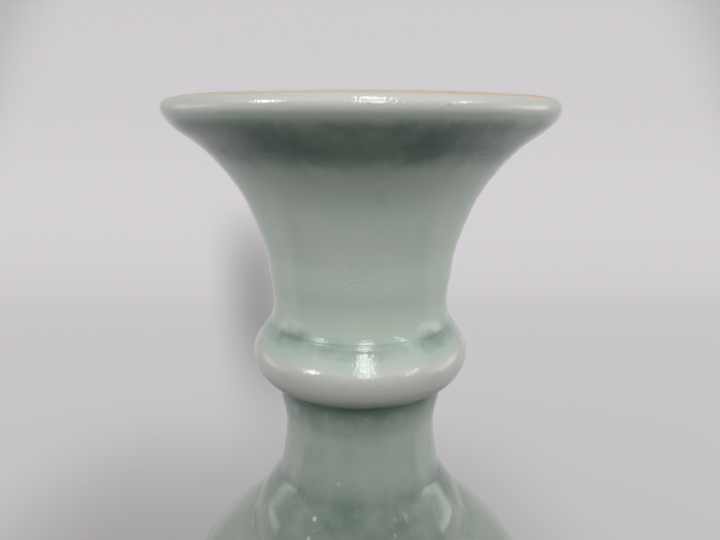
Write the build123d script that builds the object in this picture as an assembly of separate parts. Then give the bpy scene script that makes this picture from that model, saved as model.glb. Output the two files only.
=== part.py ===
from build123d import *
import os
from math import cos, radians, sin, sqrt

# A tall celadon vase: clay sections stacked on beds of slip, sealed with a coat of glaze.
# Lengths are in millimetres and angles in degrees. The origin is on the floor, under the axis of the vase.
# Headings say which way the half section runs as it climbs: 90 is straight up, less leans out, more leans in.

# Heights of the sections, from the floor up
foot_height = 34.0
lower_body_height = 157.0
upper_body_height = 64.0
tier_height = 28.0
neck_height = 41.75
collar_height = 25.8
trumpet_height = 84.55

# Foot ring, with the ledge inside it that carries the base
foot_radius = 59.5
foot_round = 2.0
foot_land = 9.5
foot_waist_radius = 55.0
foot_recess_depth = 8.0
foot_recess_taper = 1.5
ledge_thickness = 6.0
ledge_width = 9.0
ledge_taper = 0.8
seat_taper = 1.0
base_thickness = 9.0

# Body
body_radius = 86.0
shoulder_radius = 73.3
shoulder_drop = 18.5
shoulder_heading = 122.0
shoulder_top_heading = 167.0

# Domed tier on the shoulder
tier_foot_spread = 1.7
tier_foot_heading = 100.0
tier_radius = 46.8
tier_rise = 7.4
tier_heading = 106.7
tier_top_heading = 121.0

# Lower neck
neck_foot_radius = 34.85
neck_foot_heading = 98.0
neck_waist_radius = 32.3
neck_waist_rise = 22.2
neck_top_heading = 84.0

# Ring collar
collar_foot_radius = 35.2
collar_foot_heading = 26.0
collar_radius = 45.0
collar_rise = 13.5
collar_edge_overhang = 1.6
collar_edge_drop = 1.4
collar_edge_heading = 124.0
collar_top_heading = 145.0

# Trumpet mouth: rises are from the collar up, drops from the widest circle of the lip down
trumpet_foot_heading = 85.0
trumpet_foot_flare = 2.0
trumpet_edge_setback = 0.7
trumpet_edge_rise = 1.4
trumpet_edge_heading = 104.0
stem_waist_radius = 36.05
stem_waist_rise = 10.5
stem_radius = 37.6
stem_rise = 23.5
stem_heading = 85.6
flare_radius = 44.3
flare_drop = 37.7
flare_heading = 68.2
brim_radius = 58.9
brim_drop = 16.1
brim_heading = 46.8
mouth_radius = 75.0
lip_roll = 4.35
lip_heading = 56.0

# Hollow corners outside the joints: how far the rounding reaches along each side
shoulder_corner = 2.2
neck_corner = 1.6
collar_corner = 1.6
groove_corner = 0.5

# Wall thicknesses, with the glaze on both sides
foot_wall = 9.0
body_wall = 8.5
shoulder_wall = 8.0
tier_wall = 7.0
neck_wall = 6.5
collar_wall = 11.0
stem_wall = 6.5
flare_wall = 6.2
brim_wall = 6.8

# Joints and coats
joint_bevel = 3.5
slip_thickness = 0.6
glaze_thickness = 0.6
glaze_line_height = 6.0
base_glaze_margin = 2.0
bare_lip_start = 52.0
bare_lip_end = 100.0

# Heights and radii that follow from those
foot_top = foot_height
body_waist = foot_top + lower_body_height
shoulder_top = body_waist + upper_body_height
tier_top = shoulder_top + tier_height
neck_top = tier_top + neck_height
collar_top = neck_top + collar_height
lip_height = collar_top + trumpet_height
lip_radius = mouth_radius - lip_roll
tier_foot_radius = tier_radius + tier_foot_spread
collar_top_radius = stem_waist_radius + trumpet_foot_flare
collar_edge_radius = collar_top_radius + collar_edge_overhang
trumpet_edge_radius = collar_top_radius - trumpet_edge_setback
ledge_top = foot_recess_depth + ledge_thickness
base_top = ledge_top + base_thickness
recess_radius = foot_radius - glaze_thickness - foot_round - foot_land
well_radius = foot_waist_radius - foot_wall + glaze_thickness
seat_radius = well_radius - seat_taper
ledge_radius = seat_radius - ledge_width


def step(point, heading, distance):
    """The point reached by going a distance along a heading."""
    return (point[0] + distance * cos(radians(heading)), point[1] + distance * sin(radians(heading)))


def inward(station, depth):
    """A station moved into the wall, square to its heading."""
    radius, height, heading = station
    return (*step((radius, height), heading + 90, depth), heading)


def corner(radius, height, below, above, reach):
    """The two stations of a rounded hollow corner."""
    point = (radius, height)
    return [(*step(point, below, -reach), below), (*step(point, above, reach), above)]


def arc(start, heading, end):
    """An arc that leaves its start along a heading, or a line where it would be straight."""
    across = step((0, 0), heading + 90, 1)
    bend = across[0] * (end[0] - start[0]) + across[1] * (end[1] - start[1])
    if abs(bend) < 1e-6:
        return Line(start, end)
    return TangentArc(start, end, tangent=step((0, 0), heading, 1))


def biarc(first, last):
    """Two smoothly joined arcs from one station to the next."""
    start, end = first[:2], last[:2]
    out, back = step((0, 0), first[2], 1), step((0, 0), last[2], 1)
    span = (end[0] - start[0], end[1] - start[1])
    spread = 2 * (1 - out[0] * back[0] - out[1] * back[1])
    along = 2 * (span[0] * (out[0] + back[0]) + span[1] * (out[1] + back[1]))
    square = span[0] ** 2 + span[1] ** 2
    if spread < 1e-9:
        reach = square / along
    else:
        reach = (sqrt(along**2 + 4 * spread * square) - along) / (2 * spread)
    near, far = step(start, first[2], reach), step(end, last[2], -reach)
    middle = ((near[0] + far[0]) / 2, (near[1] + far[1]) / 2)
    return [arc(start, first[2], middle), arc(end, last[2] + 180, middle)]


def chain(stations):
    """The edges of the smooth line through a list of stations."""
    return [edge for first, last in zip(stations, stations[1:]) for edge in biarc(first, last)]


def ring_section(points):
    """A straight-sided half section."""
    return make_face(Polyline(*points, close=True))


def tier_foot_station():
    """The hollow corner between the shoulder and the tier."""
    return (tier_foot_radius, shoulder_top, (shoulder_top_heading + tier_foot_heading) / 2)


def neck_foot_station():
    """The hollow corner between the tier and the lower neck."""
    return (neck_foot_radius, tier_top, (tier_top_heading + neck_foot_heading) / 2)


def collar_foot_station():
    """The hollow corner under the collar."""
    return (collar_foot_radius, neck_top, (neck_top_heading + collar_foot_heading) / 2)


def collar_top_station():
    """The groove between the collar and the trumpet."""
    return (collar_top_radius, collar_top, (collar_top_heading + trumpet_foot_heading) / 2)


def stem_stations():
    """The trumpet from its waist to its brim."""
    return [
        (stem_waist_radius, collar_top + stem_waist_rise, 90),
        (stem_radius, collar_top + stem_rise, stem_heading),
        (flare_radius, lip_height - flare_drop, flare_heading),
        (brim_radius, lip_height - brim_drop, brim_heading),
    ]


def outside_stations():
    """The glazed outside, from the foot to the tangent of the lip."""
    lip_tangent = step((lip_radius, lip_height), lip_heading - 90, lip_roll)
    return [
        (foot_radius, foot_round, 90),
        (foot_waist_radius, foot_top, 90),
        (body_radius, body_waist, 90),
        (shoulder_radius, shoulder_top - shoulder_drop, shoulder_heading),
        *corner(tier_foot_radius, shoulder_top, shoulder_top_heading, tier_foot_heading, shoulder_corner),
        (tier_radius, shoulder_top + tier_rise, tier_heading),
        *corner(neck_foot_radius, tier_top, tier_top_heading, neck_foot_heading, neck_corner),
        (neck_waist_radius, tier_top + neck_waist_rise, 90),
        *corner(collar_foot_radius, neck_top, neck_top_heading, collar_foot_heading, collar_corner),
        (collar_radius, neck_top + collar_rise, 90),
        (collar_edge_radius, collar_top - collar_edge_drop, collar_edge_heading),
        *corner(collar_top_radius, collar_top, collar_top_heading, trumpet_foot_heading, groove_corner),
        (trumpet_edge_radius, collar_top + trumpet_edge_rise, trumpet_edge_heading),
        *stem_stations(),
        (*lip_tangent, lip_heading),
    ]


def inside_stations(depth):
    """The inside, a depth below its glaze, from the base to the tangent of the lip."""
    waist, stem, flare, brim = stem_stations()
    lip_tangent = step((lip_radius, lip_height), lip_heading + 90, lip_roll - depth)
    return [
        (well_radius - glaze_thickness + depth, base_top + glaze_thickness - depth, 90),
        inward((foot_waist_radius, foot_top - joint_bevel, 90), foot_wall - depth),
        inward((body_radius, body_waist - joint_bevel, 90), body_wall - depth),
        inward((shoulder_radius, shoulder_top - shoulder_drop, shoulder_heading), shoulder_wall - depth),
        inward(tier_foot_station(), tier_wall - depth),
        inward((tier_radius, shoulder_top + tier_rise, tier_heading), tier_wall - depth),
        inward(neck_foot_station(), neck_wall - depth),
        inward((neck_waist_radius, tier_top + neck_waist_rise, 90), neck_wall - depth),
        inward(collar_foot_station(), neck_wall - depth),
        inward((collar_radius, neck_top + collar_rise, 90), collar_wall - depth),
        inward(collar_top_station(), stem_wall - depth),
        inward(waist, stem_wall - depth),
        inward(stem, stem_wall - depth),
        inward(flare, flare_wall - depth),
        inward(brim, brim_wall - depth),
        (*lip_tangent, lip_heading),
    ]


def filled_section(depth):
    """The half section of the vase, a depth below its glaze, with the foot filled in."""
    outside = [inward(station, depth) for station in outside_stations()]
    foot_edge = outside[0][0]
    outside.insert(0, (foot_edge - foot_round, 0, 0))
    lip_top = lip_height + lip_roll - depth
    outside += [(mouth_radius - depth, lip_height, 90), (lip_radius, lip_top, 180)]
    inside = [*inside_stations(depth), (lip_radius, lip_top, 0)]
    floor_corner = inside[0][:2]
    bottom = Polyline(floor_corner, (0, floor_corner[1]), (0, 0), outside[0][:2])
    return make_face([*chain(outside), *chain(inside), *bottom.edges()])


def foot_hollow():
    """The half section of the base's seat, the ledge's opening and the recess under the foot."""
    return ring_section([
        (0, 0),
        (recess_radius, 0),
        (recess_radius - foot_recess_taper, foot_recess_depth),
        (ledge_radius + ledge_taper, foot_recess_depth),
        (ledge_radius, ledge_top),
        (seat_radius, ledge_top),
        (well_radius, base_top),
        (0, base_top),
    ])


def joint_bed(outer, inner):
    """The strip of slip from a joint's outer corner to its inner edge, run on past both faces of the wall."""
    across = Vector(inner[0] - outer[0], inner[1] - outer[1])
    half = across.normalized().rotate(Axis.Z, 90) * (slip_thickness / 2)
    start = Vector(*outer[:2]) - across / 2
    end = Vector(*inner[:2]) + across / 2
    return ring_section([start + half, end + half, end - half, start - half])


def joint_beds():
    """The beds of slip, from the foot up."""
    corners = [tier_foot_station(), neck_foot_station(), collar_foot_station(), collar_top_station()]
    walls = [tier_wall, neck_wall, neck_wall, stem_wall]
    return [
        joint_bed((foot_waist_radius, foot_top), (foot_waist_radius - foot_wall, foot_top - joint_bevel)),
        joint_bed((body_radius, body_waist), (body_radius - body_wall, body_waist - joint_bevel)),
        *[joint_bed(place, inward(place, wall)) for place, wall in zip(corners, walls)],
    ]


def bare_lip():
    """The wedge over the lip that the glaze has drained from."""
    centre = (lip_radius, lip_height)
    far = 3 * lip_roll
    return ring_section([centre, step(centre, bare_lip_start, far), step(centre, bare_lip_end, far)])


def clay_and_slip():
    """Half sections of the clay sections and of the slip between them, each from the foot up."""
    clay = filled_section(glaze_thickness) - foot_hollow()
    beds = joint_beds()
    sections = clay - beds
    slips = [clay & bed for bed in beds]
    return sections.faces().sort_by(Axis.Y), slips


def coats():
    """Half sections of the glaze inside and outside, which stop at the bare lip and above the bare foot."""
    coat = filled_section(0) - filled_section(glaze_thickness)
    foot_line = ring_section([
        (0, 0),
        (2 * foot_radius, 0),
        (2 * foot_radius, glaze_line_height),
        (0, glaze_line_height),
    ])
    return (coat - foot_line - bare_lip()).faces().sort_by(Axis.X)


def base_pieces():
    """Half sections of the base, of the slip round its edge and of the glaze under it."""
    seat = ring_section([(0, ledge_top), (seat_radius, ledge_top), (well_radius, base_top), (0, base_top)])
    disc = ring_section([
        (0, ledge_top),
        (seat_radius - slip_thickness, ledge_top),
        (well_radius - slip_thickness, base_top),
        (0, base_top),
    ])
    glaze_edge = ledge_radius - base_glaze_margin
    glaze_bottom = ledge_top - glaze_thickness
    glaze = ring_section([(0, glaze_bottom), (glaze_edge, glaze_bottom), (glaze_edge, ledge_top), (0, ledge_top)])
    return disc, seat - disc, glaze


def build_vase():
    """Every node of the vase as a half section, by name."""
    sections, slips = clay_and_slip()
    section_names = [
        "foot_ring",
        "lower_body",
        "upper_body",
        "shoulder_tier",
        "lower_neck",
        "ring_collar",
        "trumpet_mouth",
    ]
    slip_names = ["foot_slip", "body_slip", "shoulder_slip", "tier_slip", "neck_slip", "collar_slip"]
    nodes = dict(zip(section_names, sections, strict=True)) | dict(zip(slip_names, slips, strict=True))
    nodes["inner_glaze"], nodes["outer_glaze"] = coats()
    nodes["base_disc"], nodes["base_seal"], nodes["base_glaze"] = base_pieces()
    return nodes


os.makedirs("parts", exist_ok=True)
for name, half_section in build_vase().items():
    export_step(revolve(Plane.XZ * half_section, Axis.Z), f"parts/{name}.step")
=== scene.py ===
"""Celadon flower vase with a trumpet mouth: its glaze, its bare clay and the studio it stands in."""

import math
from functools import lru_cache

import bpy
import numpy as np
from bpy.props import FloatProperty, FloatVectorProperty, IntProperty, PointerProperty
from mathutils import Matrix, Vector


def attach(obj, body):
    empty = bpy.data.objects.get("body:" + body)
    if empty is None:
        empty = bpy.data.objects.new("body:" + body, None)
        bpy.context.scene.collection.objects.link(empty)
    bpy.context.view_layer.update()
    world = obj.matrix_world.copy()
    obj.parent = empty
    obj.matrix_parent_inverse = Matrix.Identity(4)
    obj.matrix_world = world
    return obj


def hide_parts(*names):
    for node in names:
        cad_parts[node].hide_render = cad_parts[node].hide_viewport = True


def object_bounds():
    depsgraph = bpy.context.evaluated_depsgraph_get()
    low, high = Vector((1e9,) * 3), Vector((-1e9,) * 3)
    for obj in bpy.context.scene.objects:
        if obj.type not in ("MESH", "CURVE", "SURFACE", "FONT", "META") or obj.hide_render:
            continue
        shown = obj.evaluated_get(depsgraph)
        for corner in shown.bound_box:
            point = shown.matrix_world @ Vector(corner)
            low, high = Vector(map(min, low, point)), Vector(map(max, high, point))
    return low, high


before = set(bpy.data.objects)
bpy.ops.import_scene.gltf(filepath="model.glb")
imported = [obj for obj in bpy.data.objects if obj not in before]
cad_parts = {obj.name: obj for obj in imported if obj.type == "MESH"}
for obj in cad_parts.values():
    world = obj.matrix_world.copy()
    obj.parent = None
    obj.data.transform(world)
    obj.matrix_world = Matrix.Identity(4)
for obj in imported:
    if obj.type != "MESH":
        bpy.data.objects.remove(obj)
CAD_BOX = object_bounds()

bl_info = {
    "name": "Celadon trumpet vase",
    "version": (1, 0, 0),
    "blender": (4, 5, 0),
    "location": "View3D > Sidebar > Vase",
    "description": "Builds the glaze, the bare clay and the studio of a celadon flower vase",
    "category": "Object",
}

MILLIMETRE = 0.001
VASE_TOP = CAD_BOX[1].z
CLAY_NODES = (
    "foot_ring",
    "lower_body",
    "upper_body",
    "shoulder_tier",
    "lower_neck",
    "ring_collar",
    "trumpet_mouth",
    "base_disc",
)
SLIP_NODES = (
    "foot_slip",
    "body_slip",
    "shoulder_slip",
    "tier_slip",
    "neck_slip",
    "collar_slip",
    "base_seal",
)


def below_top(drop):
    """The height of a place so many millimetres below the top of the lip."""
    return VASE_TOP - drop * MILLIMETRE


def screen(red, green, blue):
    """A colour as it looks on a screen, 0 to 255, given in linear light by the sRGB formula."""
    shares = [value / 255 for value in (red, green, blue)]
    return tuple(((s + 0.055) / 1.055) ** 2.4 if s > 0.04045 else s / 12.92 for s in shares)


def solid(colour):
    """A colour with full cover."""
    return (*colour, 1.0)


# Shader sums

SPOT_CORE = 0.35


class Term:
    """A value in a finish that can be used in sums, and leaves its nodes behind."""

    def __init__(self, finish, socket):
        self.finish = finish
        self.socket = socket

    def joined(self, operation, first, second):
        """The outcome of a sum with two values, each of which is a term or a plain number."""
        return self.finish.add("ShaderNodeMath", {"operation": operation}, {0: first, 1: second})

    def __add__(self, other):
        return self.joined("ADD", self, other)

    def __radd__(self, other):
        return self.joined("ADD", other, self)

    def __sub__(self, other):
        return self.joined("SUBTRACT", self, other)

    def __rsub__(self, other):
        return self.joined("SUBTRACT", other, self)

    def __mul__(self, other):
        return self.joined("MULTIPLY", self, other)

    def __rmul__(self, other):
        return self.joined("MULTIPLY", other, self)

    def __truediv__(self, other):
        return self.joined("DIVIDE", self, other)

    def __pow__(self, other):
        return self.joined("POWER", self, other)

    def least(self, other):
        """The smaller of two values."""
        return self.joined("MINIMUM", self, other)

    def unsigned(self):
        """The value without its sign."""
        return self.joined("ABSOLUTE", self, 0.0)

    def centred(self):
        """A value between 0 and 1, moved to lie between -0.5 and 0.5."""
        return self - 0.5

    def between(self, low, high):
        """0 up to low, 1 from high on, and a soft step between them."""
        settings = {"interpolation_type": "SMOOTHSTEP"}
        inputs = {"Value": self, "From Min": low, "From Max": high, "To Min": 0.0, "To Max": 1.0}
        return self.finish.add("ShaderNodeMapRange", settings, inputs)

    def fading(self, low, high):
        """1 up to low, 0 from high on, and a soft step between them."""
        return 1 - self.between(low, high)


def hypotenuse(first, second):
    """The long side of a right triangle whose other sides are given."""
    return (first**2 + second**2) ** 0.5


class Finish:
    """The nodes of one material or of the world."""

    def __init__(self, owner):
        owner.use_nodes = True
        self.owner = owner
        self.tree = owner.node_tree
        self.tree.nodes.clear()

    @staticmethod
    def socket(sockets, key):
        """The socket at that place in the list, or the one in use that has that name."""
        if isinstance(key, int):
            return sockets[key]
        return next(s for s in sockets if s.enabled and s.name == key)

    def add(self, kind, settings=None, inputs=None, output=0):
        """A node of that kind: its settings first, then the values or links of its sockets."""
        node = self.tree.nodes.new(kind)
        for key, value in (settings or {}).items():
            setattr(node, key, value)
        for key, value in (inputs or {}).items():
            socket = self.socket(node.inputs, key)
            if isinstance(value, Term):
                self.tree.links.new(value.socket, socket)
            else:
                socket.default_value = value
        if not node.outputs:
            return None
        return Term(self, self.socket(node.outputs, output))

    def place(self):
        """Where a point of the piece is, in metres."""
        return self.add("ShaderNodeTexCoord", output="Object")

    def noise(self, place, size, detail=2.0, roughness=0.5):
        """Soft noise from 0 to 1 whose patches are about that size, in metres."""
        inputs = {"Vector": place, "Scale": 1 / size, "Detail": detail, "Roughness": roughness}
        return self.add("ShaderNodeTexNoise", {}, inputs, "Fac")

    def cells(self, place, size):
        """Distances to scattered points that lie about that far apart, as shares of it."""
        return self.add("ShaderNodeTexVoronoi", {}, {"Vector": place, "Scale": 1 / size}, "Distance")

    def stretched(self, place, upwards):
        """A place with its heights multiplied, which makes a pattern flatter or taller."""
        inputs = {0: place, 1: (1.0, 1.0, upwards)}
        return self.add("ShaderNodeVectorMath", {"operation": "MULTIPLY"}, inputs)

    def light(self, kind):
        """1 for light of that kind and 0 for other light."""
        return self.add("ShaderNodeLightPath", output=kind)

    def attribute(self, name):
        """A value that the mesh carries at each point."""
        return self.add("ShaderNodeAttribute", {"attribute_name": name}, output="Fac")

    def split(self, vector):
        """The x, y and z of a vector."""
        return [self.add("ShaderNodeSeparateXYZ", {}, {0: vector}, axis) for axis in range(3)]

    def mix(self, factor, first, second):
        """The first colour, going over to the second as the factor goes to 1."""
        settings = {"data_type": "RGBA", "clamp_factor": True}
        inputs = {"Factor": factor, "A": first, "B": second}
        return self.add("ShaderNodeMix", settings, inputs, "Result")

    def spot(self, place, centre, reach):
        """1 in the core of a blemish and 0 at its edge. It reaches differently far along x, y and z."""
        away = self.add("ShaderNodeVectorMath", {"operation": "SUBTRACT"}, {0: place, 1: centre})
        scaled = self.add("ShaderNodeVectorMath", {"operation": "DIVIDE"}, {0: away, 1: reach})
        far = self.add("ShaderNodeVectorMath", {"operation": "LENGTH"}, {0: scaled}, "Value")
        return far.fading(SPOT_CORE, 1.0)

    def bump(self, height, depth):
        """The normal of a surface whose relief is that deep, in metres, where the height is 1."""
        return self.add("ShaderNodeBump", {}, {"Height": height, "Distance": depth, "Strength": 1.0})

    def surface(self, shader):
        """Shows the shader on the material or world, and gives that back."""
        in_world = isinstance(self.owner, bpy.types.World)
        kind = "ShaderNodeOutputWorld" if in_world else "ShaderNodeOutputMaterial"
        self.add(kind, {}, {"Surface": shader})
        return self.owner


# Sizes and colours

def colour_value(name, description, red, green, blue):
    """A colour that can be changed, given as it looks on a screen."""
    return FloatVectorProperty(
        name=name,
        description=description,
        default=screen(red, green, blue),
        subtype="COLOR",
        min=0,
        max=1,
    )


def length_value(name, description, metres):
    """A length that can be changed."""
    return FloatProperty(name=name, description=description, default=metres, unit="LENGTH", precision=5)


def angle_value(name, description, degrees):
    """An angle that can be changed."""
    return FloatProperty(name=name, description=description, default=math.radians(degrees), subtype="ANGLE")


def strength_value(name, description, strength):
    """A strength of light that can be changed."""
    return FloatProperty(name=name, description=description, default=strength, min=0)


class VASE_PG_glaze(bpy.types.PropertyGroup):
    """How the glaze lies and looks."""

    segments: IntProperty(name="Segments", description="Steps round each coat", default=256, min=32)
    row_spacing: length_value("Row spacing", "Longest step along the outline of a coat", 2.3 * MILLIMETRE)
    thickness: length_value("Thickness", "Depth of the coat", 0.6 * MILLIMETRE)
    throwing_depth: length_value(
        "Throwing rings", "Depth of the potter's finger rings under the glaze", 0.05 * MILLIMETRE
    )
    throwing_pitch: length_value("Ring pitch", "Height from one finger ring to the next", 7.5 * MILLIMETRE)
    edge_wander: length_value("Edge wander", "How far the edge of the glaze strays", 0.5 * MILLIMETRE)
    pool_width: length_value("Pool width", "How far the glaze rounds off a groove", 1.9 * MILLIMETRE)
    peel_size: length_value("Peel size", "Size of the dimples in the glaze's skin", 0.8 * MILLIMETRE)
    body_colour: colour_value("Body colour", "Colour of the glaze where it lies evenly", 184, 197, 185)
    pool_colour: colour_value("Pool colour", "Colour where the glaze gathers in a groove", 116, 138, 127)
    thin_colour: colour_value("Thin colour", "Colour where the glaze runs thin over an edge", 199, 201, 194)
    halo_colour: colour_value(
        "Halo colour", "Colour where the clay starts to show through the glaze's edge", 212, 196, 178
    )
    stain_colour: colour_value("Stain colour", "Colour of iron specks and smudges", 98, 88, 66)
    # Near white of the painted highlights on the tier, and of one pale bubble
    glint_and_bubble_colour: colour_value("Glint and bubble colour", "Colour of the painted glints on the tier and of one large bubble", 244, 241, 234)
    roughness: FloatProperty(
        name="Roughness",
        description="Roughness of the glossy skin",
        default=0.075,
        subtype="FACTOR",
        min=0,
        max=1,
    )


class VASE_PG_clay(bpy.types.PropertyGroup):
    """How the bare stoneware looks."""

    pale_colour: colour_value(
        "Pale colour", "Bare clay that the kiln has toasted only a little", 208, 196, 184
    )
    burnt_colour: colour_value("Burnt colour", "Bare clay that the kiln has burnt to orange", 204, 158, 122)
    fleck_colour: colour_value("Fleck colour", "Dark grains in the clay", 92, 62, 44)
    slip_colour: colour_value("Slip colour", "Thin clay that bonds the sections", 190, 176, 158)
    grain_size: length_value("Grain size", "Size of the sand in the clay", 0.7 * MILLIMETRE)


class VASE_PG_studio(bpy.types.PropertyGroup):
    """Where the vase is seen from, and in what light."""

    lens: FloatProperty(
        name="Lens",
        description="Focal length of the camera in millimetres",
        default=29.35,
        unit="CAMERA",
        min=1,
    )
    eye_distance: length_value(
        "Eye distance", "How far the camera stands in front of the vase's axis", 238.1 * MILLIMETRE
    )
    eye_height: length_value("Eye height", "Height of the camera over the floor", below_top(10.0))
    eye_side: length_value(
        "Eye side", "How far the camera stands to the right of the vase's axis", -0.18 * MILLIMETRE
    )
    eye_pitch: angle_value("Eye pitch", "How far the camera looks down", 13.81)
    eye_roll: angle_value("Eye roll", "How far the camera is turned about its own line of sight", 0.2)
    paper_colour: colour_value(
        "Paper colour", "Colour of the floor and backdrop as the camera sees them", 208, 205, 208
    )
    shade_colour: colour_value(
        "Shade colour", "Colour of the shaded paper in front of the vase and of the dark flag", 62, 62, 62
    )
    sky_strength: strength_value("Sky strength", "Strength of the even light all round", 0.24)
    side_strength: strength_value(
        "Side strength", "How much stronger the even light is on the right, and weaker on the left", 0.08
    )
    front_strength: strength_value("Front strength", "Extra strength of the light from the upper front", 3.3)
    window_strength: strength_value(
        "Window strength", "Extra strength of the low light from both sides and from behind", 1.1
    )


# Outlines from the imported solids

OUTWARD = 1
INWARD = -1
# How near to the seam's plane a point has to be, and how many decimals tell two points apart, in metres
SEAM_REACH = 1e-6
SEAM_DIGITS = 7
FLOOR_PINHOLE = 0.05 * MILLIMETRE
SHARP_TURN = math.radians(60)


def seam_links(node):
    """The points of a turned coat's seam, as (radius, height), and which of them are neighbours."""
    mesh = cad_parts[node].data
    names = {}
    for vertex in mesh.vertices:
        x, y, z = vertex.co
        if abs(y) < SEAM_REACH and x > -SEAM_REACH:
            names[vertex.index] = (round(x, SEAM_DIGITS), round(z, SEAM_DIGITS))
    links = {}
    for edge in mesh.edges:
        first, second = (names.get(index) for index in edge.vertices)
        if first is None or second is None or first == second:
            continue
        links.setdefault(first, set()).add(second)
        links.setdefault(second, set()).add(first)
    return links


def seam_path(node):
    """The seam's points in order. A coat with a flat middle starts and ends at the edge of that."""
    links = seam_links(node)
    ends = [point for point in links if len(links[point]) == 1]
    here = max(ends, key=lambda point: point[1]) if ends else min(links)
    path = [here]
    seen = {here}
    while True:
        fresh = [point for point in links[here] if point not in seen]
        if not fresh:
            return np.array(path)
        here = min(fresh, key=lambda point: math.dist(point, path[-1]))
        seen.add(here)
        path.append(here)


def sharp_points(path, closed):
    """Which points of a path turn sharply."""
    before = np.roll(path, 1, axis=0)
    after = np.roll(path, -1, axis=0)
    arriving = path - before
    leaving = after - path
    turn = np.arctan2(
        arriving[:, 0] * leaving[:, 1] - arriving[:, 1] * leaving[:, 0],
        (arriving * leaving).sum(axis=1),
    )
    sharp = np.abs(turn) > SHARP_TURN
    if not closed:
        sharp[0] = sharp[-1] = False
    return np.flatnonzero(sharp)


@lru_cache
def outside_outline():
    """The glazed side of the outer coat, from the foot up to the lip."""
    path = seam_path("outer_glaze")
    corners = sharp_points(path, True)
    path = np.roll(path, -corners[0], axis=0)
    corners = corners - corners[0]
    runs = []
    for start, end in zip(corners, [*corners[1:], len(path)]):
        runs.append(np.vstack([path[start:end], path[end % len(path)][None]]))
    long_runs = sorted(runs, key=len)[-2:]
    shown = max(long_runs, key=lambda run: run[:, 0].mean())
    return shown if shown[0, 1] < shown[-1, 1] else shown[::-1]


def inside_outline():
    """The glazed side of the inner coat, from the middle of the floor up to the lip."""
    path = seam_path("inner_glaze")
    corners = sharp_points(path, False)
    shown = path[: corners[0] + 1]
    middle = np.array([[FLOOR_PINHOLE, shown[0, 1]]])
    return np.vstack([middle, shown[shown[:, 0] > FLOOR_PINHOLE]])


def run_length(path):
    """How far along a path each of its points is."""
    steps = np.hypot(*np.diff(path, axis=0).T)
    return np.concatenate([[0.0], np.cumsum(steps)])


def slopes(path):
    """Smooth directions at the points of a path, weighted towards the nearer neighbour."""
    along = run_length(path)
    gaps = np.diff(along)[:, None]
    runs = np.diff(path, axis=0) / gaps
    inner = (runs[:-1] * gaps[1:] + runs[1:] * gaps[:-1]) / (gaps[1:] + gaps[:-1])
    return np.vstack([runs[:1], inner, runs[-1:]])


def finer(path, spacing):
    """The path with smooth points added wherever a step is longer than the spacing."""
    along = run_length(path)
    heading = slopes(path)
    points = [path[:1]]
    for i in range(len(path) - 1):
        gap = along[i + 1] - along[i]
        count = max(1, math.ceil(gap / spacing))
        t = (np.arange(1, count + 1) / count)[:, None]
        start = (1 + 2 * t) * (1 - t) ** 2 * path[i] + t * (1 - t) ** 2 * gap * heading[i]
        end = t * t * (3 - 2 * t) * path[i + 1] - t * t * (1 - t) * gap * heading[i + 1]
        points.append(start + end)
    return np.vstack(points)


def facing(path, side):
    """Unit normals of a path that climbs, away from the axis on the outward side."""
    heading = slopes(path)
    normals = np.column_stack([heading[:, 1], -heading[:, 0]]) * side
    return normals / np.hypot(*normals.T)[:, None]


# The glaze fills hollows from this height up, and never within so many pool widths of its own edge
POOLED_FROM = below_top(145.4)
POOLED_FADE = 10 * MILLIMETRE
POOL_CLEARANCE = 4


def pooled(path, side, width):
    """The path with its hollows filled a little, as glaze runs into them and rounds them off."""
    along = run_length(path)
    weights = np.exp(-0.5 * ((along[:, None] - along[None]) / width) ** 2) * np.gradient(along)[None]
    weights /= weights.sum(axis=1, keepdims=True)
    normals = facing(path, side)
    rise = ((weights @ path - path) * normals).sum(axis=1)
    to_edge = np.minimum(along, along[-1] - along)
    rise = np.clip(rise, 0, None) * np.clip(to_edge / (POOL_CLEARANCE * width) - 1, 0, 1)
    rise *= np.clip((path[:, 1] - POOLED_FROM) / POOLED_FADE, 0, 1)
    return path + normals * rise[:, None]


def bending(path, side, width):
    """How strongly the path bends, smoothed over a width: above 0 on a ridge, below 0 in a groove."""
    along = run_length(path)
    steps = np.diff(path, axis=0)
    angles = np.unwrap(np.arctan2(steps[:, 1], steps[:, 0]))
    turns = np.diff(angles) * side
    places = along[1:-1]
    weights = np.exp(-0.5 * ((along[:, None] - places[None]) / width) ** 2)
    return weights @ turns / (width * math.sqrt(2 * math.pi))


# Depth of the glaze, with bands of painted shade and painted light

# Millimetres below the top of the lip, reach up and down, and how much deeper, darker and greener the glaze
# is made there. The bands on the crest of the lip, under the lip, on the brim, on the top and underside of
# the collar, on the top of the neck and on the dome of the tier are painted shade, the one under the lip
# partly pooled glaze too; those on the flare and on the bulge of the collar are painted light.
OUTSIDE_RUNS_WITH_PAINTED_LIGHT_AND_SHADE = {
    "painted shade on the crest of the lip": (1.9, 1.5, 0.18),
    "round of the lip": (5.2, 1.5, -0.28),
    "pooling and painted shade under the lip": (9.6, 4.2, 0.46),
    "painted shade on the brim": (16.4, 7.0, 0.36),
    "painted light on the flare": (49.4, 18.0, -0.16),
    "stem": (81.4, 6.0, -0.12),
    "joint over the collar": (88.1, 0.4, 0.04),
    "painted shade on the top of the collar": (91.4, 5.0, 0.20),
    "painted light on the bulge of the collar": (102.4, 6.0, -0.40),
    "painted shade under the collar": (112.1, 3.0, 0.50),
    "painted shade on the top of the neck": (119.4, 7.0, 0.26),
    "waist of the neck": (139.4, 10.0, 0.02),
    "painted shade on the dome of the tier": (165.4, 12.0, 0.22),
    "foot of the tier": (184.4, 4.0, -0.20),
    "body": (319.4, 90.0, 0.05),
}
INSIDE_RUNS = {
    "mouth": (34.4, 30.0, 0.15),
    "well": (289.4, 110.0, 0.20),
}
EVEN_DEPTH = 0.52
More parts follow.
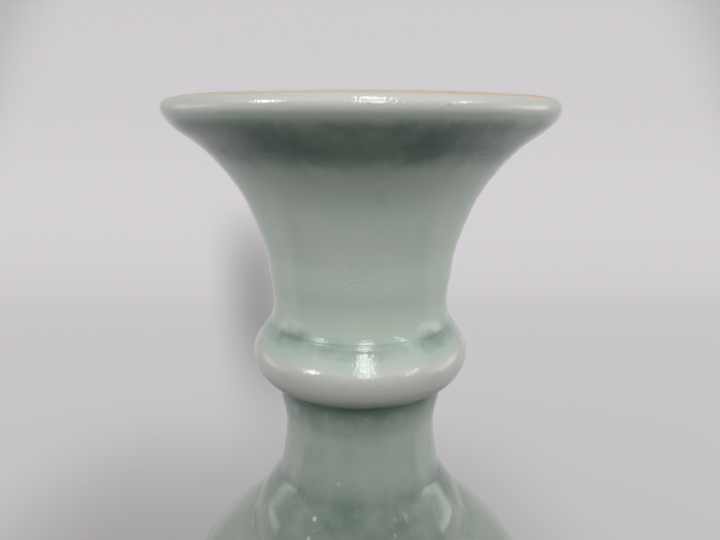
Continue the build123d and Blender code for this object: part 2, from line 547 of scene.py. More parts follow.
BASE_DEPTH = 0.6
EDGE_WIDTH = 1.8 * MILLIMETRE
EDGE_SHARPNESS = 4.5 * MILLIMETRE
FORM_WIDTH = 8 * MILLIMETRE
FORM_SHARPNESS = 16 * MILLIMETRE
RIDGE_SHARE = 0.34
EDGE_GROOVE_SHARE = 0.22
FORM_GROOVE_SHARE = 0.1


def thinning(path, side, width, sharpness, groove_share):
    """How much thinner the glaze lies over bends of that width: above 0 on a ridge, below 0 in a groove."""
    bend = np.tanh(bending(path, side, width) * sharpness)
    return bend * np.where(bend > 0, RIDGE_SHARE, groove_share)


def glaze_depth_with_painted_light_and_shade(path, side, runs):
    """How deep the glaze lies, from 0 where it runs off a ridge to 1 in a groove, with bands of painted
    shade and painted light added by height.
    """
    depth = EVEN_DEPTH - thinning(path, side, EDGE_WIDTH, EDGE_SHARPNESS, EDGE_GROOVE_SHARE)
    depth -= thinning(path, side, FORM_WIDTH, FORM_SHARPNESS, FORM_GROOVE_SHARE)
    # Bands by height, among them painted shade and painted light
    for drop, reach, change in runs.values():
        away = (path[:, 1] - below_top(drop)) / (reach * MILLIMETRE)
        depth += change * np.exp(-away * away)
    return np.clip(depth, 0, 1)


# Meshes

SMOOTH_EDGE = math.radians(50)
BACK_STEP = 5
WAVE_GAIN = 1.6
RING_ORDERS = (1, 2, 3)
RING_DRIFT = 1.3
RING_DRIFT_HEIGHT = 40 * MILLIMETRE
RING_SWAY = 0.4


def wander(angles, seed, orders):
    """A smooth wave round the vase, between about -1 and 1."""
    draws = np.random.default_rng(seed)
    wave = np.zeros_like(angles)
    weight = 0.0
    for order in orders:
        share = 1 / math.sqrt(order)
        wave += share * np.cos(order * angles + draws.uniform(0, 2 * math.pi))
        weight += share
    return WAVE_GAIN * wave / weight


def throwing_rings(path, angles, depth, pitch, seed):
    """Shallow spiral grooves left by the fingers, as distances into the surface."""
    heights = path[:, 1]
    turn = heights[:, None] / pitch * 2 * math.pi + angles[None]
    drift = RING_DRIFT * wander(heights / RING_DRIFT_HEIGHT, seed, RING_ORDERS)[:, None]
    sway = RING_SWAY * wander(angles, seed + 1, RING_ORDERS)[None]
    return depth * (0.5 + 0.5 * np.sin(turn + drift + sway))


def grid_mesh(name, points, values):
    """A closed mesh through rings of points, whose last ring joins the first, with values for each ring."""
    rows, segments, _ = points.shape
    mesh = bpy.data.meshes.new(name)
    index = np.arange(rows * segments).reshape(rows, segments)
    next_column = np.roll(index, -1, axis=1)
    next_row = np.roll(index, -1, axis=0)
    far_corner = np.roll(next_row, -1, axis=1)
    quads = np.stack([index, next_column, far_corner, next_row], axis=-1).reshape(-1, 4)
    mesh.from_pydata(points.reshape(-1, 3).tolist(), [], quads.tolist())
    for label, value in values.items():
        layer = mesh.attributes.new(label, "FLOAT", "POINT")
        layer.data.foreach_set("value", np.repeat(value, segments).astype(np.float32))
    add_bake_map(mesh, rows, segments)
    mesh.validate()
    return mesh


def add_bake_map(mesh, rows, segments):
    """Unrolls the coat into a square, with the angle across and the outline upwards."""
    layer = mesh.uv_layers.new(name="OFBake")
    across = np.arange(segments) / segments
    up = np.arange(rows) / rows
    corner_x = np.stack([across, across + 1 / segments, across + 1 / segments, across], axis=-1)
    corner_y = np.stack([up, up, up + 1 / rows, up + 1 / rows], axis=-1)
    flat = np.zeros((rows, segments, 4, 2), np.float32)
    flat[..., 0] = corner_x[None]
    flat[..., 1] = corner_y[:, None]
    layer.data.foreach_set("uv", flat.ravel())


def new_piece(name, mesh):
    """A piece in the scene, which rides on the vase."""
    piece = bpy.data.objects.new(name, mesh)
    bpy.context.scene.collection.objects.link(piece)
    mesh.shade_smooth()
    mesh.set_sharp_from_angle(angle=SMOOTH_EDGE)
    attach(piece, "root")
    return piece


def turned(radius, height, angles):
    """Points in space from radius and height at each angle."""
    return np.stack(
        [radius * np.cos(angles)[None], radius * np.sin(angles)[None], height + 0 * angles[None]],
        axis=-1,
    )


def coat_points(path, side, angles, sink, slide):
    """The shown side of a coat: the outline turned round, slid along itself and sunk into itself."""
    along = run_length(path)
    normals = facing(path, side)
    moved = along[:, None] + slide
    radius = np.interp(moved, along, path[:, 0]) - np.interp(moved, along, normals[:, 0]) * sink
    height = np.interp(moved, along, path[:, 1]) - np.interp(moved, along, normals[:, 1]) * sink
    return turned(radius, height, angles)


def back_points(path, side, angles, thickness):
    """The side of a coat that lies on the clay, in wider steps, from its last row back to its first."""
    under = path - facing(path, side) * thickness
    chosen = np.unique(np.concatenate([np.arange(0, len(path), BACK_STEP), [len(path) - 1]]))[::-1]
    under = under[chosen]
    return turned(under[:, :1] + 0 * angles[None], under[:, 1:], angles)


def filled(values, rows):
    """The values of the shown side, with the hidden rows filled up with the last one."""
    return np.concatenate([values, np.full(rows - len(values), values[-1])])


# Edges of the coats

LIP_CALM = 9 * MILLIMETRE
LIP_ROUND = 1.6 * MILLIMETRE
LIP_ROUND_SHARE = 0.5
LIP_PULL = 4 * MILLIMETRE
LIP_PULL_LIMIT = 1.6
LIP_ORDERS = (1, 2, 3, 5, 8, 13, 17, 23)
FOOT_ROUND = 0.9 * MILLIMETRE
FOOT_ROUND_SHARE = 0.6
FOOT_PULL = 5 * MILLIMETRE
FOOT_PULL_LIMIT = 2.4
FOOT_ORDERS = (1, 2, 3, 5, 7, 11, 16)
BARE_REACH = 1.5 * MILLIMETRE
BARE_POWER = 1.5


def steps_round(count):
    """Even steps round the axis, as angles."""
    return np.arange(count) / count * 2 * math.pi


def edge_fall(away, reach):
    """0 far from an edge, rising to 1 at it, as a quarter round falls."""
    t = np.clip(1 - away / reach, 0, 1)
    return 1 - np.sqrt(1 - t * t)


def lip_rounded(sink, to_lip, thickness):
    """The sink of a coat whose rings die out below the lip and whose edge there is rounded."""
    ringed = sink * np.clip(to_lip / LIP_CALM, 0, 1)[:, None]
    return ringed + LIP_ROUND_SHARE * thickness * edge_fall(to_lip, LIP_ROUND)[:, None]


def edge_pull(away, reach, wave, limit):
    """How far a wavy edge draws the coat along with it, dying out over a reach."""
    near = np.clip(1 - away / reach, 0, 1)
    return near[:, None] * np.clip(wave, 0, limit)[None]


def coat_mesh(name, path, side, sink, slide, runs, look):
    """A closed coat, which carries how deep it lies, with painted shade and painted light in it, and how far
    the clay shows through at the lip.
    """
    angles = steps_round(look.segments)
    front = coat_points(path, side, angles, sink, slide)
    back = back_points(path, side, angles, look.thickness)
    points = np.concatenate([front, back])
    along = run_length(path)
    bare = np.clip(1 - (along[-1] - along) / BARE_REACH, 0, 1) ** BARE_POWER
    values = {
        "glaze_depth_with_painted_light_and_shade": filled(glaze_depth_with_painted_light_and_shade(path, side, runs), len(points)),
        "glaze_bare": filled(bare, len(points)),
    }
    return grid_mesh(name, points, values)


# Marks in the glaze, and painted glints

# Degrees to the right of the front, millimetres below the top of the lip, reach across and up, strength
FLAWS = (
    (-47.5, 17.9, 1.2, 0.7, 0.85),
    (-46.0, 17.3, 1.4, 0.5, 0.25),
    (40.6, 18.8, 3.4, 0.8, 0.40),
    (48.6, 18.2, 2.6, 0.6, 0.30),
    (14.0, 16.0, 6.0, 1.8, 0.22),
    (18.8, 4.3, 1.3, 0.8, 0.20),
    (-52.3, 9.5, 2.0, 0.5, 0.30),
)
POOLS = (
    (-45.5, 85.9, 13.0, 4.5, 0.11),
    (-45.5, 89.3, 9.0, 4.0, 0.03),
    (48.7, 85.9, 13.0, 4.5, 0.09),
    (50.0, 89.4, 9.0, 4.0, 0.03),
)
# The third is a pale bubble in the glaze on the neck; the others are painted highlights, glints of the side
# lamps on the tier
GLINTS_AND_BUBBLE = (
    (-27.8, 162.5, 1.2, 1.4, 0.95),
    (-28.1, 168.7, 1.1, 1.3, 0.75),
    (-14.5, 148.0, 1.2, 1.2, 0.35),
    (21.7, 161.8, 1.0, 1.2, 0.20),
    (19.8, 166.4, 1.0, 1.2, 0.30),
)
WRINKLES = ((-2.3, 66.4, 18.0, 12.0, 1.0),)


def on_vase(turn, drop):
    """The point of the outer surface so many degrees round and so many millimetres below the top."""
    outline = outside_outline()
    height = below_top(drop)
    radius = np.interp(height, outline[:, 1], outline[:, 0])
    angle = math.radians(turn)
    return (radius * math.sin(angle), -radius * math.cos(angle), height)


def placed_marks(finish, place, marks):
    """The sum of soft marks at given places on the vase."""
    total = 0.0
    for turn, drop, across, up, strength in marks:
        reach = (across * MILLIMETRE, across * MILLIMETRE, up * MILLIMETRE)
        total = finish.spot(place, on_vase(turn, drop), reach) * strength + total
    return total


# Finish of the glaze

FINE_DETAIL = 3.0
FINE_ROUGHNESS = 0.6
CLOUD_SIZE = 32 * MILLIMETRE
CLOUD_SHARE = 0.34
MOTTLE_SIZE = 4.5 * MILLIMETRE
MOTTLE_SHARE = 0.2
STREAK_SIZE = 9 * MILLIMETRE
STREAK_STRETCH = 0.12
STREAK_SHARE = 0.22
THIN_TO_EVEN = (0.08, 0.5)
EVEN_TO_POOL = (0.5, 0.98)
HALO_SHARE = 0.75
WRINKLE_SIZE = 1.6 * MILLIMETRE
WRINKLE_STRETCH = 2.2
WRINKLE_EDGE = (0.46, 0.66)
WRINKLE_SHARE = 0.16
WRINKLE_RELIEF = 0.3
SPECK_SPACING = 11 * MILLIMETRE
SPECK_EDGE = (0.018, 0.045)
SPECK_PATCH = 17 * MILLIMETRE
SPECK_PATCH_EDGE = (0.56, 0.66)
SPECK_SHARE = 0.5
STAIN_LIMIT = 0.85
SKIN_DETAIL = 1.0
SKIN_ROUGHNESS = 0.4
SKIN_DEPTH = 0.05 * MILLIMETRE
PEEL_RELIEF = 1.5
SWELL_SIZE = 7 * MILLIMETRE
SWELL_RELIEF = 2.2
CALM_HEIGHTS = (below_top(149.4), below_top(129.4))
CALM_SHARE = 0.35
MOTTLE_GLOSS = 0.08
BARE_GLOSS = 0.16
GLAZE_INDEX = 1.52


def glaze_stains(finish, place):
    """Where iron has stained the glaze: the placed marks and scattered fine specks."""
    speck = finish.cells(place, SPECK_SPACING).fading(*SPECK_EDGE)
    rare = finish.noise(place, SPECK_PATCH).between(*SPECK_PATCH_EDGE)
    return (speck * rare * SPECK_SHARE + placed_marks(finish, place, FLAWS)).least(STAIN_LIMIT)


def glaze_wrinkles(finish, place):
    """Where the skin of the glaze has crept into fine wrinkles."""
    flat = finish.stretched(place, WRINKLE_STRETCH)
    folds = finish.noise(flat, WRINKLE_SIZE, roughness=FINE_ROUGHNESS).between(*WRINKLE_EDGE)
    return folds * placed_marks(finish, place, WRINKLES)


def glaze_tone(finish, place, depth, mottle, look):
    """Green where the glaze is deep and pale where it is thin, with clouds and runs in it. The depth also
    carries painted shade and painted light.
    """
    cloud = finish.noise(place, CLOUD_SIZE, FINE_DETAIL)
    streak = finish.noise(finish.stretched(place, STREAK_STRETCH), STREAK_SIZE)
    drift = cloud.centred() * CLOUD_SHARE + mottle.centred() * MOTTLE_SHARE + streak.centred() * STREAK_SHARE
    level = depth + drift + placed_marks(finish, place, POOLS)
    colour = finish.mix(level.between(*THIN_TO_EVEN), solid(look.thin_colour), solid(look.body_colour))
    return finish.mix(level.between(*EVEN_TO_POOL), colour, solid(look.pool_colour))


def glaze_finish(name, look, even_depth=None):
    """Celadon with a dimpled glossy skin, which is smoother on the lower neck and below it."""
    finish = Finish(bpy.data.materials.new(name))
    place = finish.place()
    # The depth carries bands of painted shade and painted light as well as the glaze's own depth
    depth = finish.attribute("glaze_depth_with_painted_light_and_shade") if even_depth is None else even_depth
    bare = finish.attribute("glaze_bare") if even_depth is None else 0.0
    mottle = finish.noise(place, MOTTLE_SIZE, FINE_DETAIL, FINE_ROUGHNESS)
    wrinkle = glaze_wrinkles(finish, place)
    colour = glaze_tone(finish, place, depth, mottle, look)
    colour = finish.mix(wrinkle * WRINKLE_SHARE, colour, solid(look.pool_colour))
    colour = finish.mix(bare * HALO_SHARE, colour, solid(look.halo_colour))
    colour = finish.mix(glaze_stains(finish, place), colour, solid(look.stain_colour))
    # Painted highlights: near-white glints of the side lamps on the tier, and one pale bubble
    colour = finish.mix(placed_marks(finish, place, GLINTS_AND_BUBBLE), colour, solid(look.glint_and_bubble_colour))
    peel = finish.noise(place, look.peel_size, SKIN_DETAIL, SKIN_ROUGHNESS)
    swell = finish.noise(place, SWELL_SIZE, SKIN_DETAIL, SKIN_ROUGHNESS)
    _, _, up = finish.split(place)
    calm = up.between(*CALM_HEIGHTS) * (1 - CALM_SHARE) + CALM_SHARE
    relief = (peel * PEEL_RELIEF + swell * SWELL_RELIEF) * calm - wrinkle * WRINKLE_RELIEF
    inputs = {
        "Base Color": colour,
        "Roughness": look.roughness * calm + mottle.centred() * MOTTLE_GLOSS + bare * BARE_GLOSS,
        "Normal": finish.bump(relief, SKIN_DEPTH),
        "IOR": GLAZE_INDEX,
    }
    return finish.surface(finish.add("ShaderNodeBsdfPrincipled", {}, inputs))


# Finish of the bare clay

FLASH_SIZE = 34 * MILLIMETRE
FLASH_SHARE = 0.7
BLOOM_SIZE = 5 * MILLIMETRE
BLOOM_DETAIL = 4.0
BLOOM_SHARE = 0.5
BLOOM_RELIEF = 1.5
TOAST_ACROSS = 4.0
TOAST_HEIGHTS = (20 * MILLIMETRE, 100 * MILLIMETRE)
TOAST_LOW = 0.4
TOAST_LEVEL = -0.15
TOAST_EDGE = (0.15, 0.75)
FLECK_SPACING = 2.6 * MILLIMETRE
FLECK_EDGE = (0.05, 0.13)
FLECK_SHARE = 0.7
FLECK_RELIEF = 0.8
GRAIN_SHARE = 0.5
GRAIN_LEVEL = 0.15
CLAY_DEPTH = 0.14 * MILLIMETRE
CLAY_ROUGHNESS = 0.62
BLOOM_ROUGHNESS = 0.3


def clay_finish(name, pale, burnt, look):
    """Bare stoneware, burnt unevenly to orange and most near the floor, with sand and dark grains in it."""
    finish = Finish(bpy.data.materials.new(name))
    place = finish.place()
    flash = finish.noise(place, FLASH_SIZE)
    bloom = finish.noise(place, BLOOM_SIZE, BLOOM_DETAIL, FINE_ROUGHNESS)
    grain = finish.noise(place, look.grain_size, roughness=FINE_ROUGHNESS)
    fleck = finish.cells(place, FLECK_SPACING).fading(*FLECK_EDGE)
    across, _, up = finish.split(place)
    toast = flash * FLASH_SHARE + bloom.centred() * BLOOM_SHARE + across * TOAST_ACROSS
    toast = toast + up.fading(*TOAST_HEIGHTS) * TOAST_LOW + TOAST_LEVEL
    colour = finish.mix(toast.between(*TOAST_EDGE), solid(pale), solid(burnt))
    colour = finish.mix(fleck * FLECK_SHARE, colour, solid(look.fleck_colour))
    colour = finish.mix(grain.centred() * GRAIN_SHARE + GRAIN_LEVEL, colour, solid(burnt))
    inputs = {
        "Base Color": colour,
        "Roughness": CLAY_ROUGHNESS + bloom.centred() * BLOOM_ROUGHNESS,
        "Normal": finish.bump(grain + bloom * BLOOM_RELIEF - fleck * FLECK_RELIEF, CLAY_DEPTH),
    }
    return finish.surface(finish.add("ShaderNodeBsdfPrincipled", {}, inputs))


# Finishes of the studio, with lengths in metres

PAPER_EVENNESS = 0.6
FIBRE_SIZE = 1.2 * MILLIMETRE
FIBRE_DETAIL = 3.0
FIBRE_SHARE = 0.05
SHADE_CENTRE = -0.30
SHADE_NARROWING = 1.9
SHADE_EDGE = (0.50, 0.95)
SHADE_GLOSS_LOSS = 0.4
# Painted shadow of the vase on the paper, painted shade beside its body and painted shade in the upper
# corners
CAST_LEAN = 0.21
CAST_WIDTH = 0.055
CAST_SPREAD = 0.075
CAST_START = (0.35, 1.0)
CAST_TOP = (0.02, 0.24)
CAST_SHADOW_SHARE = 0.46
BESIDE_CENTRE = -0.10
BESIDE_EDGE = (0.16, 0.38)
BESIDE_FRONT = (-0.2, 0.2)
BESIDE_BACK = (0.25, 0.64)
BODY_SHADE_SHARE = 0.31
CORNER_HEIGHT = 0.05
CORNER_EDGE = (1.08, 1.35)
CORNER_START = (0.4, 1.0)
CORNER_SHADE_SHARE = 0.3
WEAVE_SIZE = 2 * MILLIMETRE
WEAVE_SHARE = 0.4
WEAVE_COLOUR = (0.02, 0.02, 0.02)


def painted_paper_shade(across, along, up):
    """Painted shade on the paper: a soft painted shadow behind the vase, painted shade beside its body and
    painted shade in the upper corners.
    """
    offset = (along * CAST_LEAN + across).unsigned() / (along * CAST_SPREAD + CAST_WIDTH)
    cast = offset.fading(0.0, 1.0) * along.between(*CAST_START) * up.fading(*CAST_TOP)
    beside = (across - BESIDE_CENTRE).unsigned().fading(*BESIDE_EDGE)
    beside = beside * along.between(*BESIDE_FRONT) * along.fading(*BESIDE_BACK)
    corner = hypotenuse(across, up - CORNER_HEIGHT).between(*CORNER_EDGE) * along.between(*CORNER_START)
    return cast * CAST_SHADOW_SHARE + beside * BODY_SHADE_SHARE + corner * CORNER_SHADE_SHARE


def paper_finish(look):
    """Pale studio paper with painted shadow and shade on it. In front of the vase it lies in shade, which
    the camera doesn't see.
    """
    finish = Finish(bpy.data.materials.new("studio_paper"))
    place = finish.place()
    fibre = finish.noise(place, FIBRE_SIZE, FIBRE_DETAIL)
    across, along, up = finish.split(place)
    # Paper fibre, plus painted shadow and painted shade
    fibre_and_painted_shade = fibre * FIBRE_SHARE + painted_paper_shade(across, along, up)
    pale = finish.mix(fibre_and_painted_shade, solid(look.paper_colour), solid(look.shade_colour))
    shade = hypotenuse(across * SHADE_NARROWING, along - SHADE_CENTRE).fading(*SHADE_EDGE)
    unseen = 1 - finish.light("Is Camera Ray")
    dulled = 1 - finish.light("Is Glossy Ray") * SHADE_GLOSS_LOSS
    tone = finish.mix(shade * unseen * dulled, pale, solid(look.shade_colour))
    lit = finish.add("ShaderNodeBsdfDiffuse", {}, {"Color": tone})
    even = finish.add("ShaderNodeEmission", {}, {"Color": tone})
    return finish.surface(finish.add("ShaderNodeMixShader", {}, {0: PAPER_EVENNESS, 1: lit, 2: even}))


def flag_finish(look):
    """Dull dark cloth."""
    finish = Finish(bpy.data.materials.new("flag_cloth"))
    weave = finish.noise(finish.place(), WEAVE_SIZE)
    colour = finish.mix(weave * WEAVE_SHARE, solid(look.shade_colour), solid(WEAVE_COLOUR))
    return finish.surface(finish.add("ShaderNodeBsdfDiffuse", {}, {"Color": colour}))


# Pieces

OUTER_RING_SEED = 11
OUTER_LIP_SEED = 3
OUTER_LIP_DRAW = 0.26
OUTER_LIP_RIPPLE = 0.22
OUTER_LIP_TILT = 0.26
OUTER_LIP_TURN = 0.6
OUT_OF_ROUND = 0.06 * MILLIMETRE
FOOT_SEED = 7
INNER_RING_SEED = 23
INNER_RING_DEPTH = 2.2
INNER_LIP_SEED = 5
INNER_LIP_DRAW = 0.5
INNER_LIP_RIPPLE = 0.5


def dress(node, material):
    """Gives a solid of the frame its finish."""
    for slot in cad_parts[node].material_slots:
        slot.link = "OBJECT"
        slot.material = material


class VASE_OT_outer_glaze(bpy.types.Operator):
    """The celadon coat on the outside, from the foot line up to the bare lip"""

    bl_idname = "vase.outer_glaze"
    bl_label = "Outer glaze"

    def execute(self, context):
        look = context.scene.vase_glaze
        path = pooled(finer(outside_outline(), look.row_spacing), OUTWARD, look.pool_width)
        angles = steps_round(look.segments)
        along = run_length(path)
        to_lip = along[-1] - along
        sink = throwing_rings(path, angles, look.throwing_depth, look.throwing_pitch, OUTER_RING_SEED)
        sink = sink + OUT_OF_ROUND * (1 - np.cos(2 * angles))[None]
        sink = lip_rounded(sink, to_lip, look.thickness)
        sink = sink + FOOT_ROUND_SHARE * look.thickness * edge_fall(along, FOOT_ROUND)[:, None]
        lip_wave = OUTER_LIP_DRAW + OUTER_LIP_RIPPLE * wander(angles, OUTER_LIP_SEED, LIP_ORDERS)
        lip_wave = lip_wave + OUTER_LIP_TILT * np.cos(angles + OUTER_LIP_TURN)
        foot_wave = 1 + wander(angles, FOOT_SEED, FOOT_ORDERS)
        foot_pull = edge_pull(along, FOOT_PULL, foot_wave, FOOT_PULL_LIMIT)
        slide = look.edge_wander * (foot_pull - edge_pull(to_lip, LIP_PULL, lip_wave, LIP_PULL_LIMIT))
        mesh = coat_mesh("glaze_outside", path, OUTWARD, sink, slide, OUTSIDE_RUNS_WITH_PAINTED_LIGHT_AND_SHADE, look)
        piece = new_piece("glaze_outside", mesh)
        piece.data.materials.append(glaze_finish("celadon_outside", look))
        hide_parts("outer_glaze")
        return {"FINISHED"}


class VASE_OT_inner_glaze(bpy.types.Operator):
    """The celadon coat on the inside, from the floor of the well up to the bare lip"""

    bl_idname = "vase.inner_glaze"
    bl_label = "Inner glaze"

    def execute(self, context):
        look = context.scene.vase_glaze
        path = finer(inside_outline(), look.row_spacing)
        angles = steps_round(look.segments)
        along = run_length(path)
        to_lip = along[-1] - along
        depth = INNER_RING_DEPTH * look.throwing_depth
        sink = throwing_rings(path, angles, depth, look.throwing_pitch, INNER_RING_SEED)
        sink = lip_rounded(sink, to_lip, look.thickness)
        lip_wave = INNER_LIP_DRAW + INNER_LIP_RIPPLE * wander(angles, INNER_LIP_SEED, LIP_ORDERS)
        slide = -look.edge_wander * edge_pull(to_lip, LIP_PULL, lip_wave, LIP_PULL_LIMIT)
        mesh = coat_mesh("glaze_inside", path, INWARD, sink, slide, INSIDE_RUNS, look)
        piece = new_piece("glaze_inside", mesh)
        piece.data.materials.append(glaze_finish("celadon_inside", look))
        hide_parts("inner_glaze")
        return {"FINISHED"}


class VASE_OT_base_glaze(bpy.types.Operator):
    """The celadon on the underside, in the hollow of the foot"""

    bl_idname = "vase.base_glaze"
    bl_label = "Base glaze"

    def execute(self, context):
        dress("base_glaze", glaze_finish("celadon_base", context.scene.vase_glaze, BASE_DEPTH))
        return {"FINISHED"}


class VASE_OT_clay(bpy.types.Operator):
    """The stoneware sections, which show at the lip and the foot"""

    bl_idname = "vase.clay"
    bl_label = "Clay sections"

    def execute(self, context):
        look = context.scene.vase_clay
        stoneware = clay_finish("bare_stoneware", look.pale_colour, look.burnt_colour, look)
        for node in CLAY_NODES:
            dress(node, stoneware)
        return {"FINISHED"}


class VASE_OT_slip(bpy.types.Operator):
    """The thin slip that bonds the sections inside the wall"""

    bl_idname = "vase.slip"
    bl_label = "Slip joints"

    def execute(self, context):
        look = context.scene.vase_clay
        slip = clay_finish("joining_slip", look.slip_colour, look.pale_colour, look)
        for node in SLIP_NODES:
            dress(node, slip)
        return {"FINISHED"}


# Studio, with lengths in metres

AIM = Vector((0.0, 0.0, below_top(79.4)))
# Name, degrees to the right of the front and up, distance, width, height, strength, degrees of roll
LAMPS = (
    ("window_left", -50.5, 21.0, 1.5, 0.30, 0.26, 14.0, 0.0),
    ("window_low", -53.0, 10.7, 1.5, 0.07, 0.06, 14.0, 0.0),
    ("window_right", 50.5, 16.0, 1.5, 0.62, 0.07, 16.0, 40.0),
    ("panel_front", 6.6, 18.5, 1.3, 0.36, 0.40, 8.0, 0.0),
    ("strip_front_left", 2.2, 43.0, 1.3, 0.12, 0.50, 10.0, 0.0),
    ("strip_front_right", 11.0, 43.0, 1.3, 0.12, 0.50, 10.0, 0.0),
)
PAPER_FRONT = -6.0
PAPER_BACK = 1.6
PAPER_TOP = 2.2
PAPER_SWEEP = 0.5
PAPER_SIDE = 2.8
PAPER_GAP = 0.2 * MILLIMETRE
PAPER_STEPS = 24
FLAG_RADIUS = 0.27
FLAG_STEPS = 24
# Height over the floor, and how far the flag reaches to each side there
FLAG_ROWS = (
    (0.16, math.radians(86)),
    (0.30, math.radians(84)),
    (0.425, math.radians(33)),
)
SENSOR_WIDTH = 36.0
NEAREST_SEEN = 0.01


def add_lamp(name, azimuth, rise, distance, width, height, strength, roll):
    """A flat lamp that faces the vase. Only the gloss of the glaze mirrors it."""
    lamp = bpy.data.lights.new(name, "AREA")
    lamp.shape = "RECTANGLE"
    lamp.size = width
    lamp.size_y = height
    lamp.energy = math.pi * width * height * strength
    holder = bpy.data.objects.new(name, lamp)
    bpy.context.scene.collection.objects.link(holder)
    turn = math.radians(azimuth)
    lift = math.radians(rise)
    towards = Vector((math.sin(turn) * math.cos(lift), -math.cos(turn) * math.cos(lift), math.sin(lift)))
    holder.location = AIM + towards * distance
    holder.rotation_euler = towards.to_track_quat("Z", "Y").to_euler()
    holder.rotation_euler.rotate_axis("Z", math.radians(roll))
    holder.visible_camera = False
    holder.visible_diffuse = False


def add_sheet(name, rows, material):
    """A smooth open sheet through rows of points."""
    columns = len(rows[0])
    points = [point for row in rows for point in row]
    starts = [row * columns + i for row in range(len(rows) - 1) for i in range(columns - 1)]
    faces = [(start, start + 1, start + columns + 1, start + columns) for start in starts]
    mesh = bpy.data.meshes.new(name)
    mesh.from_pydata(points, [], faces)
    mesh.shade_smooth()
    mesh.materials.append(material)
    sheet = bpy.data.objects.new(name, mesh)
    bpy.context.scene.collection.objects.link(sheet)
    return sheet


def add_paper(look):
    """A floor that sweeps up into a backdrop a good way behind the vase."""
    outline = [(PAPER_FRONT, 0.0)]
    for i in range(PAPER_STEPS + 1):
        turn = math.radians(90) * i / PAPER_STEPS
        along = PAPER_BACK - PAPER_SWEEP + PAPER_SWEEP * math.sin(turn)
        up = PAPER_SWEEP - PAPER_SWEEP * math.cos(turn)
        outline.append((along, up))
    outline.append((PAPER_BACK, PAPER_TOP))
    rows = []
    for along, up in outline:
        rows.append([(across, along, up - PAPER_GAP) for across in (-PAPER_SIDE, PAPER_SIDE)])
    paper = add_sheet("studio_paper", rows, paper_finish(look))


def add_flag(look):
    """A dark curved flag round the camera, which the glaze mirrors. The camera looks past it."""
    rows = []
    for height, reach in FLAG_ROWS:
        row = []
        for i in range(FLAG_STEPS + 1):
            turn = reach * (2 * i / FLAG_STEPS - 1)
            row.append((FLAG_RADIUS * math.sin(turn), -FLAG_RADIUS * math.cos(turn), height))
        rows.append(row)
    flag = add_sheet("dark_flag", rows, flag_finish(look))
    flag.visible_camera = False


# The sky, whose edges are parts of a direction of length 1
SKY_FRONT = (-0.05, 0.5)
SKY_FRONT_FOOT = (0.10, 0.36)
SKY_FRONT_TOP = (0.64, 0.86)
SKY_FRONT_GLOSS_LOSS = 0.65
SKYLINE_TOP = (0.05, 0.16)
SKYLINE_FRONT = (-0.3, -0.05)
SKYLINE_BACK = (0.3, 0.6)
SKY_SIDE_FRONT = (-0.5, 0.1)
SKY_SIDE_TOP = (0.2, 0.4)
SKY_SIDE_GLOSS_LOSS = 0.6
SKY_SIDE_LEAN = 0.35


def add_sky(look):
    """Light from the upper front and low from the sides and behind. The camera sees pale paper instead."""
    world = bpy.data.worlds.new("studio_sky")
    bpy.context.scene.world = world
    finish = Finish(world)
    across, along, up = finish.split(finish.add("ShaderNodeTexCoord", output="Generated"))
    glossy = finish.light("Is Glossy Ray")
    low = up.fading(*SKYLINE_TOP)
    front = (0 - along).between(*SKY_FRONT) * up.between(*SKY_FRONT_FOOT) * up.fading(*SKY_FRONT_TOP)
    front = front * (1 - glossy * SKY_FRONT_GLOSS_LOSS)
    skyline = along.between(*SKYLINE_FRONT) * along.fading(*SKYLINE_BACK) * low * glossy
    beside = along.between(*SKY_SIDE_FRONT) * up.fading(*SKY_SIDE_TOP)
    beside = beside * (1 - glossy * (1 - low) * SKY_SIDE_GLOSS_LOSS) * (across * SKY_SIDE_LEAN + 1)
    level = front * look.front_strength + across * look.side_strength + look.sky_strength
    level = (beside + skyline) * look.window_strength + level
    light = finish.add("ShaderNodeBackground", {}, {"Strength": level})
    pale = finish.add("ShaderNodeBackground", {}, {"Color": solid(look.paper_colour)})
    seen = finish.light("Is Camera Ray")
    finish.surface(finish.add("ShaderNodeMixShader", {}, {0: seen, 1: light, 2: pale}))


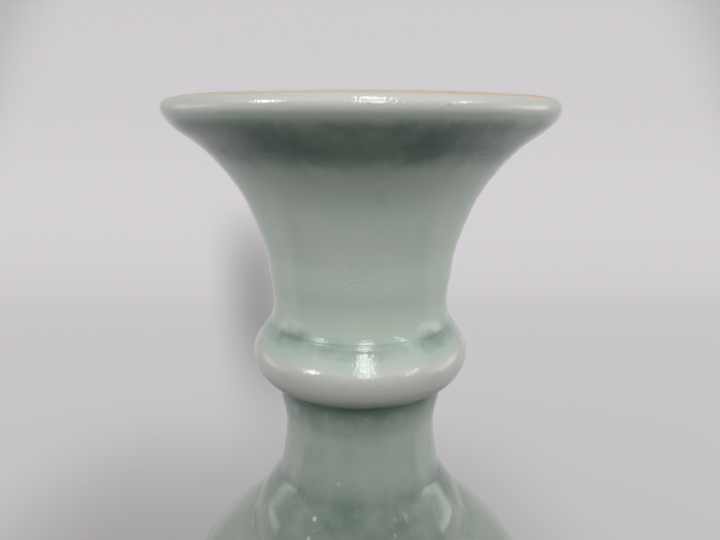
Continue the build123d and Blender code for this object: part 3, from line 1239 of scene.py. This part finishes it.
def add_camera(look):
    """The camera, close in front of the mouth and looking a little down."""
    data = bpy.data.cameras.new("view")
    data.sensor_width = SENSOR_WIDTH
    data.lens = look.lens
    data.clip_start = NEAREST_SEEN
    camera = bpy.data.objects.new("view", data)
    bpy.context.scene.collection.objects.link(camera)
    camera.location = (look.eye_side, -look.eye_distance, look.eye_height)
    camera.rotation_euler = (math.radians(90) - look.eye_pitch, 0.0, 0.0)
    camera.rotation_euler.rotate_axis("Z", look.eye_roll)
    bpy.context.scene.camera = camera


class VASE_OT_studio(bpy.types.Operator):
    """The paper, the dark flag, the sky, the lamps and the camera"""

    bl_idname = "vase.studio"
    bl_label = "Studio"

    def execute(self, context):
        look = context.scene.vase_studio
        add_paper(look)
        add_flag(look)
        add_sky(look)
        for lamp in LAMPS:
            add_lamp(*lamp)
        add_camera(look)
        context.scene.view_settings.view_transform = "Standard"
        return {"FINISHED"}


OPERATORS = (
    VASE_OT_outer_glaze,
    VASE_OT_inner_glaze,
    VASE_OT_base_glaze,
    VASE_OT_clay,
    VASE_OT_slip,
    VASE_OT_studio,
)


class VASE_PT_build(bpy.types.Panel):
    """Everything that dresses the vase"""

    bl_idname = "VASE_PT_build"
    bl_label = "Vase"
    bl_space_type = "VIEW_3D"
    bl_region_type = "UI"
    bl_category = "Vase"

    def draw(self, context):
        for operator in OPERATORS:
            self.layout.operator(operator.bl_idname)
        for group in (context.scene.vase_glaze, context.scene.vase_clay, context.scene.vase_studio):
            box = self.layout.box()
            for name in group.__annotations__:
                box.prop(group, name)


GROUPS = {
    "vase_glaze": VASE_PG_glaze,
    "vase_clay": VASE_PG_clay,
    "vase_studio": VASE_PG_studio,
}
CLASSES = (*GROUPS.values(), *OPERATORS, VASE_PT_build)


def register():
    for entry in CLASSES:
        bpy.utils.register_class(entry)
    for name, group in GROUPS.items():
        setattr(bpy.types.Scene, name, PointerProperty(type=group))


def unregister():
    for name in GROUPS:
        delattr(bpy.types.Scene, name)
    for entry in reversed(CLASSES):
        bpy.utils.unregister_class(entry)


def main():
    register()
    bpy.ops.vase.outer_glaze()
    bpy.ops.vase.inner_glaze()
    bpy.ops.vase.base_glaze()
    bpy.ops.vase.clay()
    bpy.ops.vase.slip()
    bpy.ops.vase.studio()


if __name__ == "__main__":
    main()
